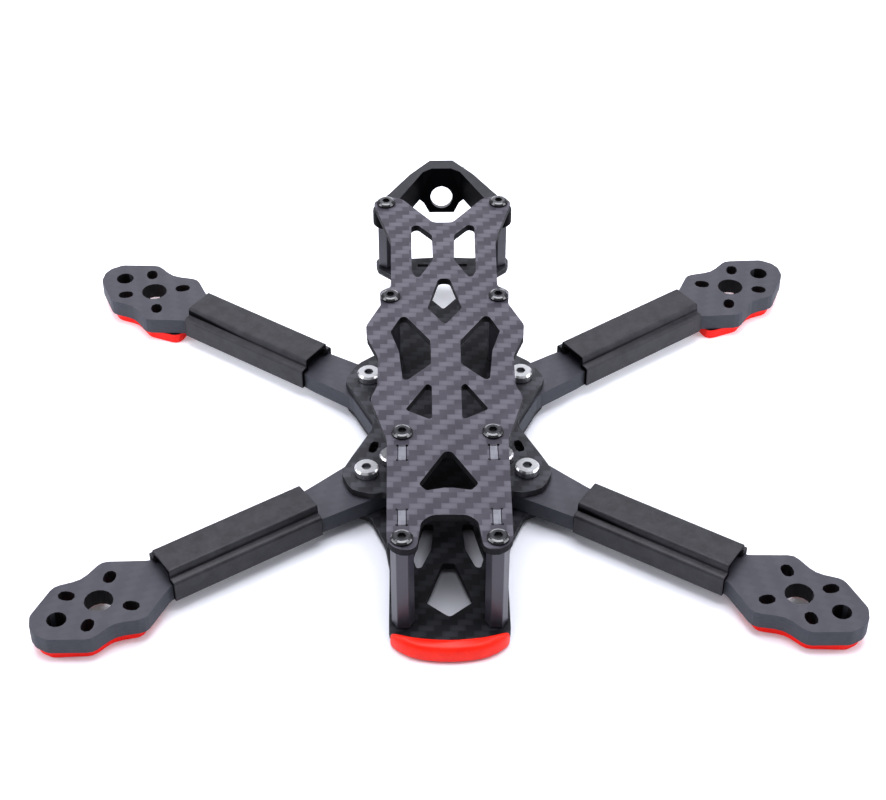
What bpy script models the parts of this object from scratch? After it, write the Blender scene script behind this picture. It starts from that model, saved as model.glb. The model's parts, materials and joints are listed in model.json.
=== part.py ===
"""Bare frame of a five-inch racing quadcopter.

Four flat arms are clamped between a bottom plate and a mid plate.  Hexagonal standoffs carry
a long top plate over them.  The bottom plate runs forward as the nose, under the camera bay,
and the mid plate runs back as the tail, under the antenna mount.

Sizes are in millimetres and are scaled to metres when a mesh is made.  X points right,
Y points to the tail and Z points up.  While drawing, Y = 0 is the middle of the motor
pattern; everything is then moved so that the origin is under the middle of the whole frame.
"""

import math

import bmesh
import bpy

MM = 0.001
FIT = 0.2                    # clearance between neighbouring pieces

# Layers, upwards from the ground
PAD_THICKNESS = 3.0
ARM_THICKNESS = 5.0
PLATE_THICKNESS = 2.0
STANDOFF_LENGTH = 20.0

ARM_LOW = PAD_THICKNESS + FIT
ARM_HIGH = ARM_LOW + ARM_THICKNESS
BOTTOM_HIGH = ARM_LOW - FIT
BOTTOM_LOW = BOTTOM_HIGH - PLATE_THICKNESS
MID_LOW = ARM_HIGH + FIT
MID_HIGH = MID_LOW + PLATE_THICKNESS
POST_HIGH = MID_HIGH + FIT + STANDOFF_LENGTH
TOP_LOW = POST_HIGH + FIT
TOP_HIGH = TOP_LOW + PLATE_THICKNESS

# Motors: (half spacing across, distance along Y, arm angle in degrees)
FRONT_MOTOR = (90.4, -66.1, 33.05)
REAR_MOTOR = (89.3, 66.1, 35.0)
MOTOR_SLOT_RADIUS = 8.75     # suits 16 and 19 mm motor bolt circles
MOTOR_SLOT_TRAVEL = 1.35
MOTOR_SLOT_WIDTH = 3.2
SLOT_ANGLES = (45.0, 135.0, 225.0, 315.0)
MOTOR_BORE = 3.8
TIP_HOLE = (11.9, 2.6)       # distance outwards from the motor, radius
PAD_HOLE = 2.3               # clears the motor screws
PAD_BORE = 7.0               # joined to the screw holes
PAD_HEEL = ((-15.0, 6.0, 3.0), (-17.5, -9.8, 3.0))     # inner corners: along, across, radius
PAD_INSET = (0.93, 0.85)     # along and across the arm
ARM_HALF_WIDTH = 5.8

# Half outline of an arm's motor end, from its waist to its tip: along, across, corner radius
MOTOR_END = (
    (-7.0, 12.4, 3.2), (0.4, 9.3, 7.0), (7.6, 11.1, 3.5), (17.2, 4.9, 3.0), (18.9, 1.4, 2.0),
)

# Wire covers: span along the arm from the motor, then their section
COVER_SPAN = (-63.0, -18.2)
COVER_HALF_WIDTH = 7.2
COVER_HEIGHT = 4.5           # above the arm
COVER_SKIN = 1.2

# Fasteners
HEAD_SIDES = 18
SHAFT_SIDES = 9
HOLE_SIDES = 10
POST_BORE_SIDES = 12
SHAFT_RADIUS = 1.45          # M3 less clearance
CLEAR_RADIUS = 1.75
POST_RADIUS = 3.0            # over the corners of a hexagon
BUTTON_RADIUS = 2.85
BUTTON_HEIGHT = 1.0
BUTTON_SOCKET = (1.15, 0.25)     # radius, height of its floor
LOW_HEAD_HEIGHT = 0.75
LOW_SOCKET = (1.15, 0.3)
SCREW_LENGTH = 8.0
SILVER_RADIUS = 3.35
SILVER_HEIGHT = 2.2
SILVER_SOCKET = (1.3, 1.1)
NUT_BARREL = 2.2
NUT_HOLE = 2.45
NUT_FLANGE = 3.2
NUT_FLANGE_HEIGHT = 0.75
STACK = 15.25                # half of the 30.5 mm flight-controller pattern
ARM_SCREW = (22.1, 20.5)
WAIST_SLOT = (20.3, 9.9)

# Standoffs: name, half spacing across, distance along Y, turn of the hexagon in degrees
POSTS = (
    ("tail", 17.2, 77.1, 30.0),
    ("shoulder", 15.5, 29.7, 30.0),
    ("neck", 12.0, -29.8, 0.0),
    ("nose", 12.0, -69.7, 0.0),
)
TAIL_POST = POSTS[0][1:3]

# Camera side plates
CAMERA_X = 12.0
CAMERA_TABS = (-61.8, -37.5)
CAMERA_PLATE_FRONT = -66.0
TAB_LENGTH = 5.2
TAB_RELIEF = 0.45

# Nose and tail ends
NOSE_END = -81.7
NOSE_PLATE_END = -80.0
NOSE_SHOULDER = -72.3        # where the plate's front edge starts to curve
NOSE_HALF_WIDTH = 15.7
BUMPER_HEIGHT = 5.2

# Bumper stations, from the middle to an end: outer x and y, inner x and y, then the share of
# the width that the groove for the plate takes up, and the height
BUMPER_STATIONS = [
    (0.0, NOSE_END, 0.0, -77.8, 0.615, BUMPER_HEIGHT),
    (2.6, -81.6, 2.4, -77.7, 0.63, BUMPER_HEIGHT),
    (5.2, -81.3, 4.7, -77.5, 0.63, BUMPER_HEIGHT),
    (7.9, -80.8, 7.0, -77.2, 0.62, BUMPER_HEIGHT),
    (10.3, -79.9, 9.0, -76.9, 0.61, BUMPER_HEIGHT),
    (12.4, -78.6, 10.8, -76.5, 0.56, BUMPER_HEIGHT),
    (13.9, -77.3, 12.3, -76.1, 0.52, BUMPER_HEIGHT),
    (14.9, -76.1, 13.5, -75.7, 0.43, BUMPER_HEIGHT - 0.2),
    (15.4, -75.2, 14.4, -75.2, 0.45, BUMPER_HEIGHT - 0.7),
]
TAIL_END = 104.3
COLLAR_HEIGHT = 4.6
TAIL_WALL_HEIGHT = 9.0
COLLAR_RADIUS = 4.1
ANTENNA_TILT = math.radians(20.0)
ANTENNA_RADIUS = 3.5
ANTENNA_TAB = (97.8, 7.8)    # distance along Y, rise above the arms
ANTENNA_TAB_THICKNESS = 3.0
TAIL_OUTER = [(16.2, 86.0), (10.1, 96.2), (3.6, TAIL_END)]
TAIL_INNER = [(-13.2, 82.6), (-5.8, 97.6), (-3.0, 99.6), (3.0, 99.6), (5.8, 97.6), (13.2, 82.6)]

Y_CENTRE = (TAIL_END + NOSE_END) / 2.0

SIDES = (("left", -1.0), ("right", 1.0))
ENDS = (("front", -1.0, FRONT_MOTOR), ("rear", 1.0, REAR_MOTOR))

MATERIALS = {
    "carbon_plate": ((0.035, 0.034, 0.038), 0.42, 0.0),
    "carbon_arm": ((0.045, 0.048, 0.054), 0.5, 0.0),
    "cover_plastic": ((0.02, 0.02, 0.022), 0.5, 0.0),
    "red_rubber": ((0.85, 0.03, 0.015), 0.45, 0.0),
    "black_rubber": ((0.012, 0.012, 0.014), 0.5, 0.0),
    "black_steel": ((0.02, 0.02, 0.022), 0.3, 1.0),
    "silver_steel": ((0.75, 0.75, 0.74), 0.25, 1.0),
    "dark_aluminium": ((0.09, 0.09, 0.105), 0.25, 1.0),
}


# ---------------------------------------------------------------- outlines

def arc(cx, cy, radius, start, end, steps):
    """Points on a circle from one angle to another, in degrees."""
    points = []
    for i in range(steps + 1):
        a = math.radians(start + (end - start) * i / steps)
        points.append((cx + radius * math.cos(a), cy + radius * math.sin(a)))
    return points


def circle(cx, cy, radius, steps):
    return arc(cx, cy, radius, 0.0, 360.0, steps)[:-1]


def slot(cx, cy, travel, width, angle, steps=4):
    """A round-ended slot whose end centres are `travel` apart."""
    dx = 0.5 * travel * math.cos(math.radians(angle))
    dy = 0.5 * travel * math.sin(math.radians(angle))
    near = arc(cx - dx, cy - dy, width / 2, angle + 90, angle + 270, steps)
    far = arc(cx + dx, cy + dy, width / 2, angle - 90, angle + 90, steps)
    return near + far


def box_outline(cx, cy, width, length):
    w = width / 2
    h = length / 2
    return [(cx - w, cy - h), (cx + w, cy - h), (cx + w, cy + h), (cx - w, cy + h)]


def rounded(corners, step_angle=30.0):
    """Replace each corner (x, y, radius) by an arc tangent to both of its sides."""
    points = []
    for i, (x, y, radius) in enumerate(corners):
        ax, ay = unit(corners[i - 1], corners[i])
        bx, by = unit(corners[(i + 1) % len(corners)], corners[i])
        opening = math.acos(max(-1.0, min(1.0, ax * bx + ay * by)))
        turn = math.pi - opening
        if radius <= 0.0 or turn < 0.02:
            points.append((x, y))
            continue
        reach = radius / math.tan(opening / 2)
        limit = 0.48 * min(gap(corners[i - 1], corners[i]),
                           gap(corners[(i + 1) % len(corners)], corners[i]))
        reach = min(reach, limit)
        steps = max(1, math.ceil(math.degrees(turn) / step_angle))
        points += blend(x, y, (ax, ay), (bx, by), reach, opening, steps)
    return points


def unit(target, origin):
    dx = target[0] - origin[0]
    dy = target[1] - origin[1]
    size = math.hypot(dx, dy)
    return dx / size, dy / size


def gap(a, b):
    return math.hypot(a[0] - b[0], a[1] - b[1])


def blend(x, y, a, b, reach, opening, steps):
    """Arc from the side `a` to the side `b` of a corner, tangent to both."""
    radius = reach * math.tan(opening / 2)
    bisector = unit((a[0] + b[0], a[1] + b[1]), (0.0, 0.0))
    away = radius / math.sin(opening / 2)
    cx = x + bisector[0] * away
    cy = y + bisector[1] * away
    start = math.atan2(y + a[1] * reach - cy, x + a[0] * reach - cx)
    end = math.atan2(y + b[1] * reach - cy, x + b[0] * reach - cx)
    sweep = (end - start + math.pi) % (2 * math.pi) - math.pi
    points = []
    for i in range(steps + 1):
        angle = start + sweep * i / steps
        points.append((cx + radius * math.cos(angle), cy + radius * math.sin(angle)))
    return points


def both_sides(half):
    """Close a right-hand half outline, given from tail to nose, with its mirror image."""
    right = [corner if len(corner) == 3 else (*corner, 0.0) for corner in half]
    left = [(-x, y, radius) for x, y, radius in reversed(right) if x > 1e-6]
    return rounded(right + left)


def flipped(points):
    """Mirror image across the frame's middle, in the opposite order."""
    return [(-x, y) for x, y in reversed(points)]


def mirrored(hole):
    """A hole on the right and its mirror image on the left."""
    return [hole, flipped(hole)]


# ---------------------------------------------------------------- objects

def make_material(name):
    colour, roughness, metallic = MATERIALS[name]
    material = bpy.data.materials.new(name)
    material.use_nodes = True
    shader = material.node_tree.nodes["Principled BSDF"]
    shader.inputs["Base Color"].default_value = (*colour, 1.0)
    shader.inputs["Roughness"].default_value = roughness
    shader.inputs["Metallic"].default_value = metallic
    material.diffuse_color = (*colour, 1.0)
    return material


def add_object(name, data, material):
    data.materials.append(bpy.data.materials[material])
    ob = bpy.data.objects.new(name, data)
    bpy.context.collection.objects.link(ob)
    return ob


def make_mesh(name, bm):
    """A closed mesh from a finished bmesh, with its faces pointing out."""
    bmesh.ops.recalc_face_normals(bm, faces=bm.faces)
    mesh = bpy.data.meshes.new(name)
    bm.to_mesh(mesh)
    bm.free()
    return mesh


def extruded(name, outline, offset):
    """A mesh prism: a flat outline of 3-D points, in millimetres, drawn out by an offset."""
    bm = bmesh.new()
    face = bm.faces.new([bm.verts.new([c * MM for c in corner]) for corner in outline])
    lifted = bmesh.ops.extrude_face_region(bm, geom=[face])
    moved = [g for g in lifted["geom"] if isinstance(g, bmesh.types.BMVert)]
    bmesh.ops.translate(bm, verts=moved, vec=[c * MM for c in offset])
    return make_mesh(name, bm)


def sheet(name, outline, holes, low, high, material):
    """A flat sheet cut to an outline, with its holes, between two heights."""
    curve = bpy.data.curves.new(name, "CURVE")
    curve.dimensions = "2D"
    curve.fill_mode = "BOTH"
    curve.extrude = 0.5 * (high - low) * MM
    for loop in [outline, *holes]:
        spline = curve.splines.new("POLY")
        spline.points.add(len(loop) - 1)
        for point, (x, y) in zip(spline.points, loop):
            point.co = (x * MM, y * MM, 0.0, 1.0)
        spline.use_cyclic_u = True
    ob = add_object(name, curve, material)
    ob.location = (0.0, -Y_CENTRE * MM, 0.5 * (low + high) * MM)
    return ob


def prism(name, outline, low, high, material):
    """A mesh prism over one outline, used where a Boolean needs a mesh."""
    mesh = extruded(name, [(x, y, low) for x, y in outline], (0.0, 0.0, high - low))
    ob = add_object(name, mesh, material)
    ob.location = (0.0, -Y_CENTRE * MM, 0.0)
    return ob


def boolean(ob, operation, cutter):
    """Apply a hidden cutter or an added shape to an object."""
    cutter.hide_render = True
    cutter.display_type = "WIRE"
    modifier = ob.modifiers.new(cutter.name, "BOOLEAN")
    modifier.operation = operation
    modifier.solver = "EXACT"
    modifier.object = cutter


def stitch(bm, outer, inner):
    """Join two rings, where the outer has a whole multiple of the inner's points."""
    ratio = len(outer) // len(inner)
    count = len(outer)
    for i, corner in enumerate(inner):
        following = inner[(i + 1) % len(inner)]
        for k in range(i * ratio, (i + 1) * ratio - 1):
            bm.faces.new((outer[k], outer[k + 1], corner))
        last = (i + 1) * ratio - 1
        bm.faces.new((outer[last], outer[(last + 1) % count], following, corner))


def turned_mesh(name, rings, closed):
    """A turned solid from rings (points, radius, height), with flat ends or closed on itself."""
    bm = bmesh.new()
    loops = []
    for points, radius, height in rings:
        loops.append([bm.verts.new((x * MM, y * MM, height * MM))
                      for x, y in circle(0.0, 0.0, radius, points)])
    pairs = list(zip(loops, loops[1:]))
    if closed:
        pairs.append((loops[-1], loops[0]))
    else:
        bm.faces.new(loops[0])
        bm.faces.new(loops[-1])
    for a, b in pairs:
        if len(a) >= len(b):
            stitch(bm, a, b)
        else:
            stitch(bm, b, a)
    mesh = make_mesh(name, bm)
    mesh.shade_smooth()
    mesh.set_sharp_from_angle(angle=math.radians(35.0))
    return mesh


def place(name, mesh, material, x, y, z, flip=False):
    """Put a copy of a fastener mesh in the frame, upside down where it comes from below."""
    ob = bpy.data.objects.new(name, mesh)
    if not mesh.materials:
        mesh.materials.append(bpy.data.materials[material])
    bpy.context.collection.objects.link(ob)
    ob.location = (x * MM, (y - Y_CENTRE) * MM, z * MM)
    if flip:
        ob.rotation_euler = (math.pi, 0.0, 0.0)
    return ob


# ---------------------------------------------------------------- plates

def post_holes(names):
    holes = []
    for name, x, y, _ in POSTS:
        if name in names:
            holes += mirrored(circle(x, y, CLEAR_RADIUS, HOLE_SIDES))
    return holes


def clamp_holes(radius):
    """Holes of the arm screws and the stack screws."""
    holes = []
    for sign in (-1.0, 1.0):
        holes += mirrored(circle(ARM_SCREW[0], sign * ARM_SCREW[1], radius, HOLE_SIDES))
        holes += mirrored(circle(STACK, sign * STACK, radius, HOLE_SIDES))
    return holes


def waist_slot(side, end):
    """Narrow slot for a strap beside the waist, cut through the plates and the arms alike."""
    angle = 75.0 * side * end
    return slot(side * WAIST_SLOT[0], end * WAIST_SLOT[1], 2.6, 2.4, angle, 3)


def waist_slots():
    return [waist_slot(side, end) for side in (-1.0, 1.0) for end in (-1.0, 1.0)]


def tab_slot(x, y):
    """A slot for a tab of the camera plates, relieved at its corners."""
    outline = []
    half_width = 0.5 * PLATE_THICKNESS + FIT
    half_length = 0.5 * TAB_LENGTH + FIT
    for angle, sx, sy in ((225.0, -1, -1), (315.0, 1, -1), (45.0, 1, 1), (135.0, -1, 1)):
        outline += arc(x + sx * half_width, y + sy * half_length, TAB_RELIEF,
                       angle - 135.0, angle + 135.0, 4)
    return outline


def tab_slots():
    holes = []
    for y in CAMERA_TABS:
        holes += mirrored(tab_slot(CAMERA_X, y))
    return holes


def top_plate():
    outline = both_sides([
        (2.9, 66.9, 2.0), (12.4, 79.6, 3.0), (17.6, 81.0, 3.2), (21.2, 77.6, 2.8), (19.7, 72.6, 3.0),
        (15.6, 57.6, 3.0), (15.4, 34.6, 1.5), (18.6, 32.4, 2.0), (18.2, 26.2, 2.0), (22.3, 16.4, 2.5),
        (21.9, 11.0, 2.5), (18.8, 2.4, 3.0), (18.8, -10.0, 3.0), (20.6, -15.6, 2.0),
        (16.0, -32.6, 4.0), (15.8, -70.8, 3.9), (12.4, -73.8, 3.6), (8.3, -73.2, 2.4),
        (7.2, -63.6, 3.0), (4.6, -61.1, 3.0),
    ])
    holes = mirrored(rounded([
        (9.5, 64.6, 1.2), (7.7, 65.7, 1.2), (3.3, 60.2, 1.5), (3.1, 47.8, 2.0), (7.8, 37.8, 1.2),
        (9.4, 42.2, 1.0)]))
    holes.append(rounded([
        (1.6, 38.4, 1.4), (4.9, 24.4, 1.0), (0.0, 16.6, 0.8), (-4.9, 24.4, 1.0), (-1.6, 38.4, 1.4)]))
    holes += mirrored(rounded([
        (11.9, 21.8, 1.2), (15.4, 13.6, 1.2), (13.0, 4.9, 1.5), (11.8, -9.0, 1.0), (4.1, -0.7, 1.5),
        (4.2, 9.4, 1.5)]))
    holes += mirrored(rounded([
        (5.2, -9.2, 0.8), (11.2, -20.2, 0.8), (4.0, -24.6, 0.8), (4.0, -10.6, 0.8)]))
    holes.append(rounded([
        (0.0, -35.4, 1.6), (7.7, -49.6, 1.2), (5.8, -52.0, 0.8), (0.0, -50.8, 6.0),
        (-5.8, -52.0, 0.8), (-7.7, -49.6, 1.2)]))
    holes += post_holes(("tail", "shoulder", "neck", "nose"))
    holes += tab_slots()
    return sheet("top_plate", outline, holes, TOP_LOW, TOP_HIGH, "carbon_plate")


def mid_plate():
    outline = both_sides([
        (0.0, 79.9), (9.8, 79.2, 2.0), (13.6, 80.6, 3.0), (17.6, 81.1, 3.4), (21.1, 78.6, 3.2),
        (20.0, 74.2, 2.4), (14.9, 69.6, 4.0), (14.6, 38.0, 3.0), (19.6, 31.8, 3.0), (25.2, 27.2, 4.5),
        (29.4, 19.2, 4.5), (26.4, 14.0, 3.0), (19.8, 0.0, 6.0), (26.4, -14.0, 3.0),
        (29.2, -20.4, 4.5), (26.2, -27.6, 4.5), (20.0, -29.2, 4.5), (16.4, -28.0, 3.0),
        (15.9, -33.8, 3.4), (8.6, -33.8, 3.4), (7.0, -28.0, 3.0),
    ])
    holes = post_holes(("tail", "shoulder", "neck")) + clamp_holes(CLEAR_RADIUS) + waist_slots()
    holes += mirrored(box_outline(6.1, 75.5, 3.2, 1.3))
    holes.append(rounded([
        (0.0, 53.0, 0.6), (5.6, 60.6, 1.0), (4.6, 69.0, 1.5), (-4.6, 69.0, 1.5), (-5.6, 60.6, 1.0)]))
    return sheet("mid_plate", outline, holes, MID_LOW, MID_HIGH, "carbon_plate")


def nose_edge(steps=11):
    """Right half of the nose's front edge: a quarter of an ellipse that ends in the middle."""
    points = []
    for i in range(steps + 1):
        angle = 0.5 * math.pi * i / steps
        points.append((NOSE_HALF_WIDTH * math.cos(angle),
                       NOSE_SHOULDER + (NOSE_PLATE_END - NOSE_SHOULDER) * math.sin(angle)))
    return points


def bottom_plate():
    right = rounded([
        (0.0, 0.0, 0.0), (10.0, 31.0, 3.0), (21.0, 29.4, 4.0), (27.2, 26.2, 4.5), (29.2, 18.4, 4.5),
        (26.0, 13.4, 3.0), (19.8, 0.0, 6.0), (26.0, -13.4, 3.0), (29.0, -20.0, 4.5),
        (26.4, -28.2, 4.5), (21.2, -30.0, 4.0), (17.0, -40.6, 8.0), (15.75, -49.0, 0.0),
    ])[1:]
    right += [(NOSE_HALF_WIDTH, -50.0), *nose_edge()]
    left = flipped([(x, y) for x, y in right if x > 1e-6])
    holes = post_holes(("nose",)) + clamp_holes(NUT_HOLE) + waist_slots() + tab_slots()
    holes.append(rounded([
        (1.7, -48.6, 1.0), (6.3, -62.8, 1.0), (0.0, -68.2, 1.2), (-6.3, -62.8, 1.0),
        (-1.7, -48.6, 1.0)]))
    holes += mirrored(rounded([
        (8.6, -50.4, 0.8), (9.6, -46.0, 2.0), (8.4, -41.0, 2.0), (6.8, -33.6, 1.0),
        (3.7, -33.6, 1.0), (4.6, -43.4, 2.0), (7.2, -50.0, 0.8)]))
    return sheet("bottom_plate", right + left, holes, BOTTOM_LOW, BOTTOM_HIGH, "carbon_plate")


# ---------------------------------------------------------------- arms

class ArmFrame:
    """Places points given along (u) and across (v) an arm, from the motor's centre.

    u grows outwards, and v grows towards the nearer end of the frame."""

    def __init__(self, side, end, motor):
        x, y, angle = motor
        a = math.radians(angle)
        self.side = side
        self.end = end
        self.centre = (side * x, y)
        self.along = (side * math.cos(a), end * math.sin(a))
        self.across = (-side * math.sin(a), end * math.cos(a))

    def point(self, u, v):
        return (self.centre[0] + u * self.along[0] + v * self.across[0],
                self.centre[1] + u * self.along[1] + v * self.across[1])

    def points(self, local):
        return [self.point(u, v) for u, v in local]

    def direction(self):
        return math.atan2(self.along[1], self.along[0])


def motor_end_corners():
    """Motor end of an arm, from its outer side round the tip to its inner side."""
    outer = list(MOTOR_END)
    inner = [(u, -v, radius) for u, v, radius in reversed(outer)]
    return outer + inner


def slot_centre(angle):
    return (MOTOR_SLOT_RADIUS * math.cos(math.radians(angle)),
            MOTOR_SLOT_RADIUS * math.sin(math.radians(angle)))


def motor_holes():
    holes = [circle(0.0, 0.0, MOTOR_BORE, 16), circle(TIP_HOLE[0], 0.0, TIP_HOLE[1], 14)]
    for angle in SLOT_ANGLES:
        x, y = slot_centre(angle)
        holes.append(slot(x, y, MOTOR_SLOT_TRAVEL, MOTOR_SLOT_WIDTH, angle))
    return holes


def arm(name, frame):
    half_gap = 0.75 * FIT
    half = ARM_HALF_WIDTH
    beam_outer = [(-78.0, 6.9, 6.0), (-66.0, 6.2, 6.0), (-61.0, half, 4.0), (-17.6, half, 3.5)]
    beam_inner = [(-17.6, -half, 3.5), (-61.0, -half, 4.0), (-66.0, -6.3, 6.0)]
    local = beam_outer + motor_end_corners() + beam_inner
    corners = [(*frame.point(u, v), radius) for u, v, radius in local]
    corners += [
        (frame.side * 27.0, frame.end * 14.4, 4.0),
        (frame.side * 20.4, frame.end * half_gap, 0.0),
        (frame.side * half_gap, frame.end * half_gap, 0.0),
        (frame.side * half_gap, frame.end * 16.0, 0.0),
    ]
    holes = [frame.points(hole) for hole in motor_holes()]
    for x, y in (ARM_SCREW, (STACK, STACK)):
        holes.append(circle(frame.side * x, frame.end * y, CLEAR_RADIUS, HOLE_SIDES))
    holes.append(waist_slot(frame.side, frame.end))
    return sheet(name, rounded(corners), holes, ARM_LOW, ARM_HIGH, "carbon_arm")


def meeting_angle(radius, other_radius, distance):
    """Half the angle of a circle's arc that lies inside another circle, in degrees."""
    cosine = (radius ** 2 + distance ** 2 - other_radius ** 2) / (2 * radius * distance)
    return math.degrees(math.acos(cosine))


def pad_opening():
    """One opening under the motor's bore, widened round each motor screw."""
    notch = meeting_angle(PAD_BORE, PAD_HOLE, MOTOR_SLOT_RADIUS)
    swing = 180.0 - meeting_angle(PAD_HOLE, PAD_BORE, MOTOR_SLOT_RADIUS)
    outline = []
    for angle in SLOT_ANGLES:
        outline += arc(0.0, 0.0, PAD_BORE, angle - 90.0 + notch, angle - notch, 5)
        outline += arc(*slot_centre(angle), PAD_HOLE, angle - swing, angle + swing, 7)[1:-1]
    return outline


def arm_pad(name, frame):
    """Soft foot under the motor end, a little smaller than the arm except at its inner heel."""
    corners = [PAD_HEEL[0]] + motor_end_corners() + [PAD_HEEL[1]]
    along, across = PAD_INSET
    outline = frame.points([(u * along, v * across) for u, v in rounded(corners)])
    holes = [frame.points(pad_opening())]
    return sheet(name, outline, holes, 0.0, PAD_THICKNESS, "red_rubber")


def arm_cover(name, frame):
    """Wire cover: an inverted trough over the arm, with a raised tunnel along its middle."""
    start, end = COVER_SPAN
    low = ARM_LOW + 0.3
    top = ARM_HIGH + COVER_HEIGHT
    wall = COVER_HALF_WIDTH
    half_arm = ARM_HALF_WIDTH + FIT
    right = [
        (wall, low), (wall, ARM_HIGH + 1.2), (wall - 0.5, ARM_HIGH + 1.7), (5.1, ARM_HIGH + 1.9),
        (4.9, top - 0.4), (4.5, top), (-4.5, top),
    ]
    left = [(-v, z) for v, z in reversed(right[:-2])]
    seat = ARM_HIGH + FIT
    tunnel = top - COVER_SKIN
    under = [
        (-half_arm, low), (-half_arm, seat), (-4.0, seat), (-4.0, tunnel - 0.4), (-3.4, tunnel),
        (3.4, tunnel), (4.0, tunnel - 0.4), (4.0, seat), (half_arm, seat), (half_arm, low),
    ]
    section = [(start, v, z) for v, z in right + left + under]
    mesh = extruded(name, section, (end - start, 0.0, 0.0))
    ob = add_object(name, mesh, "cover_plastic")
    ob.location = (frame.centre[0] * MM, (frame.centre[1] - Y_CENTRE) * MM, 0.0)
    ob.rotation_euler = (0.0, 0.0, frame.direction())
    return ob


# ---------------------------------------------------------------- nose and tail

def bumper_section(width, groove, height):
    """Section of the bumper: (share of the width from the inner side, height)."""
    round_over = min(1.6 / width, 0.45)
    foot = min(1.1 / width, 0.3)
    return [
        (0.0, BOTTOM_HIGH + FIT), (0.0, height - 0.4), (0.12, height),
        (1.0 - round_over, height), (1.0 - 0.45 * round_over, height - 0.3),
        (1.0 - 0.12 * round_over, height - 1.0), (1.0, height - 2.0), (1.0, 1.3),
        (1.0 - 0.3 * foot, 0.4), (1.0 - foot, 0.0), (0.0, 0.0), (0.0, BOTTOM_LOW - FIT),
        (groove, BOTTOM_LOW - FIT), (groove, BOTTOM_HIGH + FIT),
    ]


def nose_bumper():
    """Soft lip clipped over the front edge of the bottom plate."""
    left = [(-ox, oy, -ix, iy, groove, high)
            for ox, oy, ix, iy, groove, high in BUMPER_STATIONS[1:]]
    bm = bmesh.new()
    loops = []
    for ox, oy, ix, iy, groove, high in left[::-1] + BUMPER_STATIONS:
        section = bumper_section(gap((ox, oy), (ix, iy)), groove, high)
        loops.append([bm.verts.new(((ix + (ox - ix) * share) * MM,
                                    (iy + (oy - iy) * share) * MM, z * MM))
                      for share, z in section])
    bm.faces.new(loops[0])
    bm.faces.new(loops[-1])
    for a, b in zip(loops, loops[1:]):
        stitch(bm, a, b)
    ob = add_object("nose_bumper", make_mesh("nose_bumper", bm), "red_rubber")
    ob.location = (0.0, -Y_CENTRE * MM, 0.0)
    return ob


def tail_band():
    """Upper plan of the tail mount: a collar round each tail standoff and the walls behind."""
    x, y = TAIL_POST
    right = arc(x, y, COLLAR_RADIUS, -205.0, 35.0, 12)
    return right + TAIL_OUTER + flipped(TAIL_OUTER) + flipped(right) + TAIL_INNER


def tail_walls():
    """Lower plan of the tail mount: only the walls, clear of the tail standoffs."""
    outer = [(18.7, 81.4), *TAIL_OUTER]
    inner = [(-13.8, 81.4), *TAIL_INNER, (13.8, 81.4)]
    return outer + flipped(outer) + inner


def tail_mount():
    """Antenna mount between the tail standoffs, with a leaning tab for the antenna plug."""
    band_low = POST_HIGH - COLLAR_HEIGHT
    ob = prism("tail_mount", tail_band(), band_low, POST_HIGH, "black_rubber")
    walls = prism("tail_walls", tail_walls(), POST_HIGH - TAIL_WALL_HEIGHT, band_low + 1.5,
                  "black_rubber")
    outline = [(-3.9, 0.0), (3.9, 0.0), (5.6, 3.1), (7.2, 4.4), (7.2, 14.0), (-7.2, 14.0),
               (-7.2, 4.4), (-5.6, 3.1)]
    tab = prism("tail_tab", outline, 0.0, ANTENNA_TAB_THICKNESS, "black_rubber")
    hole = prism("antenna_hole", circle(0.0, 4.9, ANTENNA_RADIUS, 24), -9.0, 9.0, "black_rubber")
    tab_y, tab_rise = ANTENNA_TAB
    for piece in (tab, hole):
        piece.location = (0.0, (tab_y - Y_CENTRE) * MM, (ARM_HIGH + tab_rise) * MM)
        piece.rotation_euler = (math.pi / 2 - ANTENNA_TILT, 0.0, 0.0)
    boolean(ob, "UNION", walls)
    boolean(ob, "UNION", tab)
    boolean(ob, "DIFFERENCE", hole)
    x, y = TAIL_POST
    for side_name, side in SIDES:
        bore = prism("collar_bore_" + side_name, circle(side * x, y, POST_RADIUS + FIT, 20),
                     band_low - 1.0, POST_HIGH + 1.0, "black_rubber")
        boolean(ob, "DIFFERENCE", bore)
    return ob


def camera_plate(name, side):
    """Upright plate beside the camera bay, keyed by tabs into the top and bottom plates."""
    front = CAMERA_PLATE_FRONT
    low = BOTTOM_HIGH + FIT
    foot = BOTTOM_LOW + FIT
    head = TOP_HIGH - 0.1
    half_tab = TAB_LENGTH / 2
    ahead, behind = CAMERA_TABS
    rear = behind + half_tab
    corners = [
        (front, low), (ahead - half_tab, low), (ahead - half_tab, foot), (ahead + half_tab, foot),
        (ahead + half_tab, low), (behind - half_tab, low), (behind - half_tab, foot), (rear, foot),
        (rear, head), (behind - half_tab, head), (behind - half_tab, POST_HIGH),
        (ahead + half_tab, POST_HIGH), (ahead + half_tab, head), (ahead - half_tab, head),
        (ahead - half_tab, POST_HIGH), (front, POST_HIGH),
    ]
    window = rounded([
        (-53.5, 8.0, 2.0), (-40.5, 8.0, 2.0), (-38.5, 16.0, 2.0), (-40.5, 25.5, 2.0),
        (-50.0, 26.5, 2.0), (-55.0, 17.0, 3.0)])
    holes = [window, slot(-61.0, 18.0, 7.0, 2.2, 90.0), circle(-61.0, 9.5, 1.1, 10)]
    ob = sheet(name, corners, holes, -PLATE_THICKNESS / 2, PLATE_THICKNESS / 2, "carbon_plate")
    ob.location = (side * CAMERA_X * MM, -Y_CENTRE * MM, 0.0)
    ob.rotation_euler = (math.pi / 2, 0.0, math.pi / 2)
    return ob


# ---------------------------------------------------------------- fasteners

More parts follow.
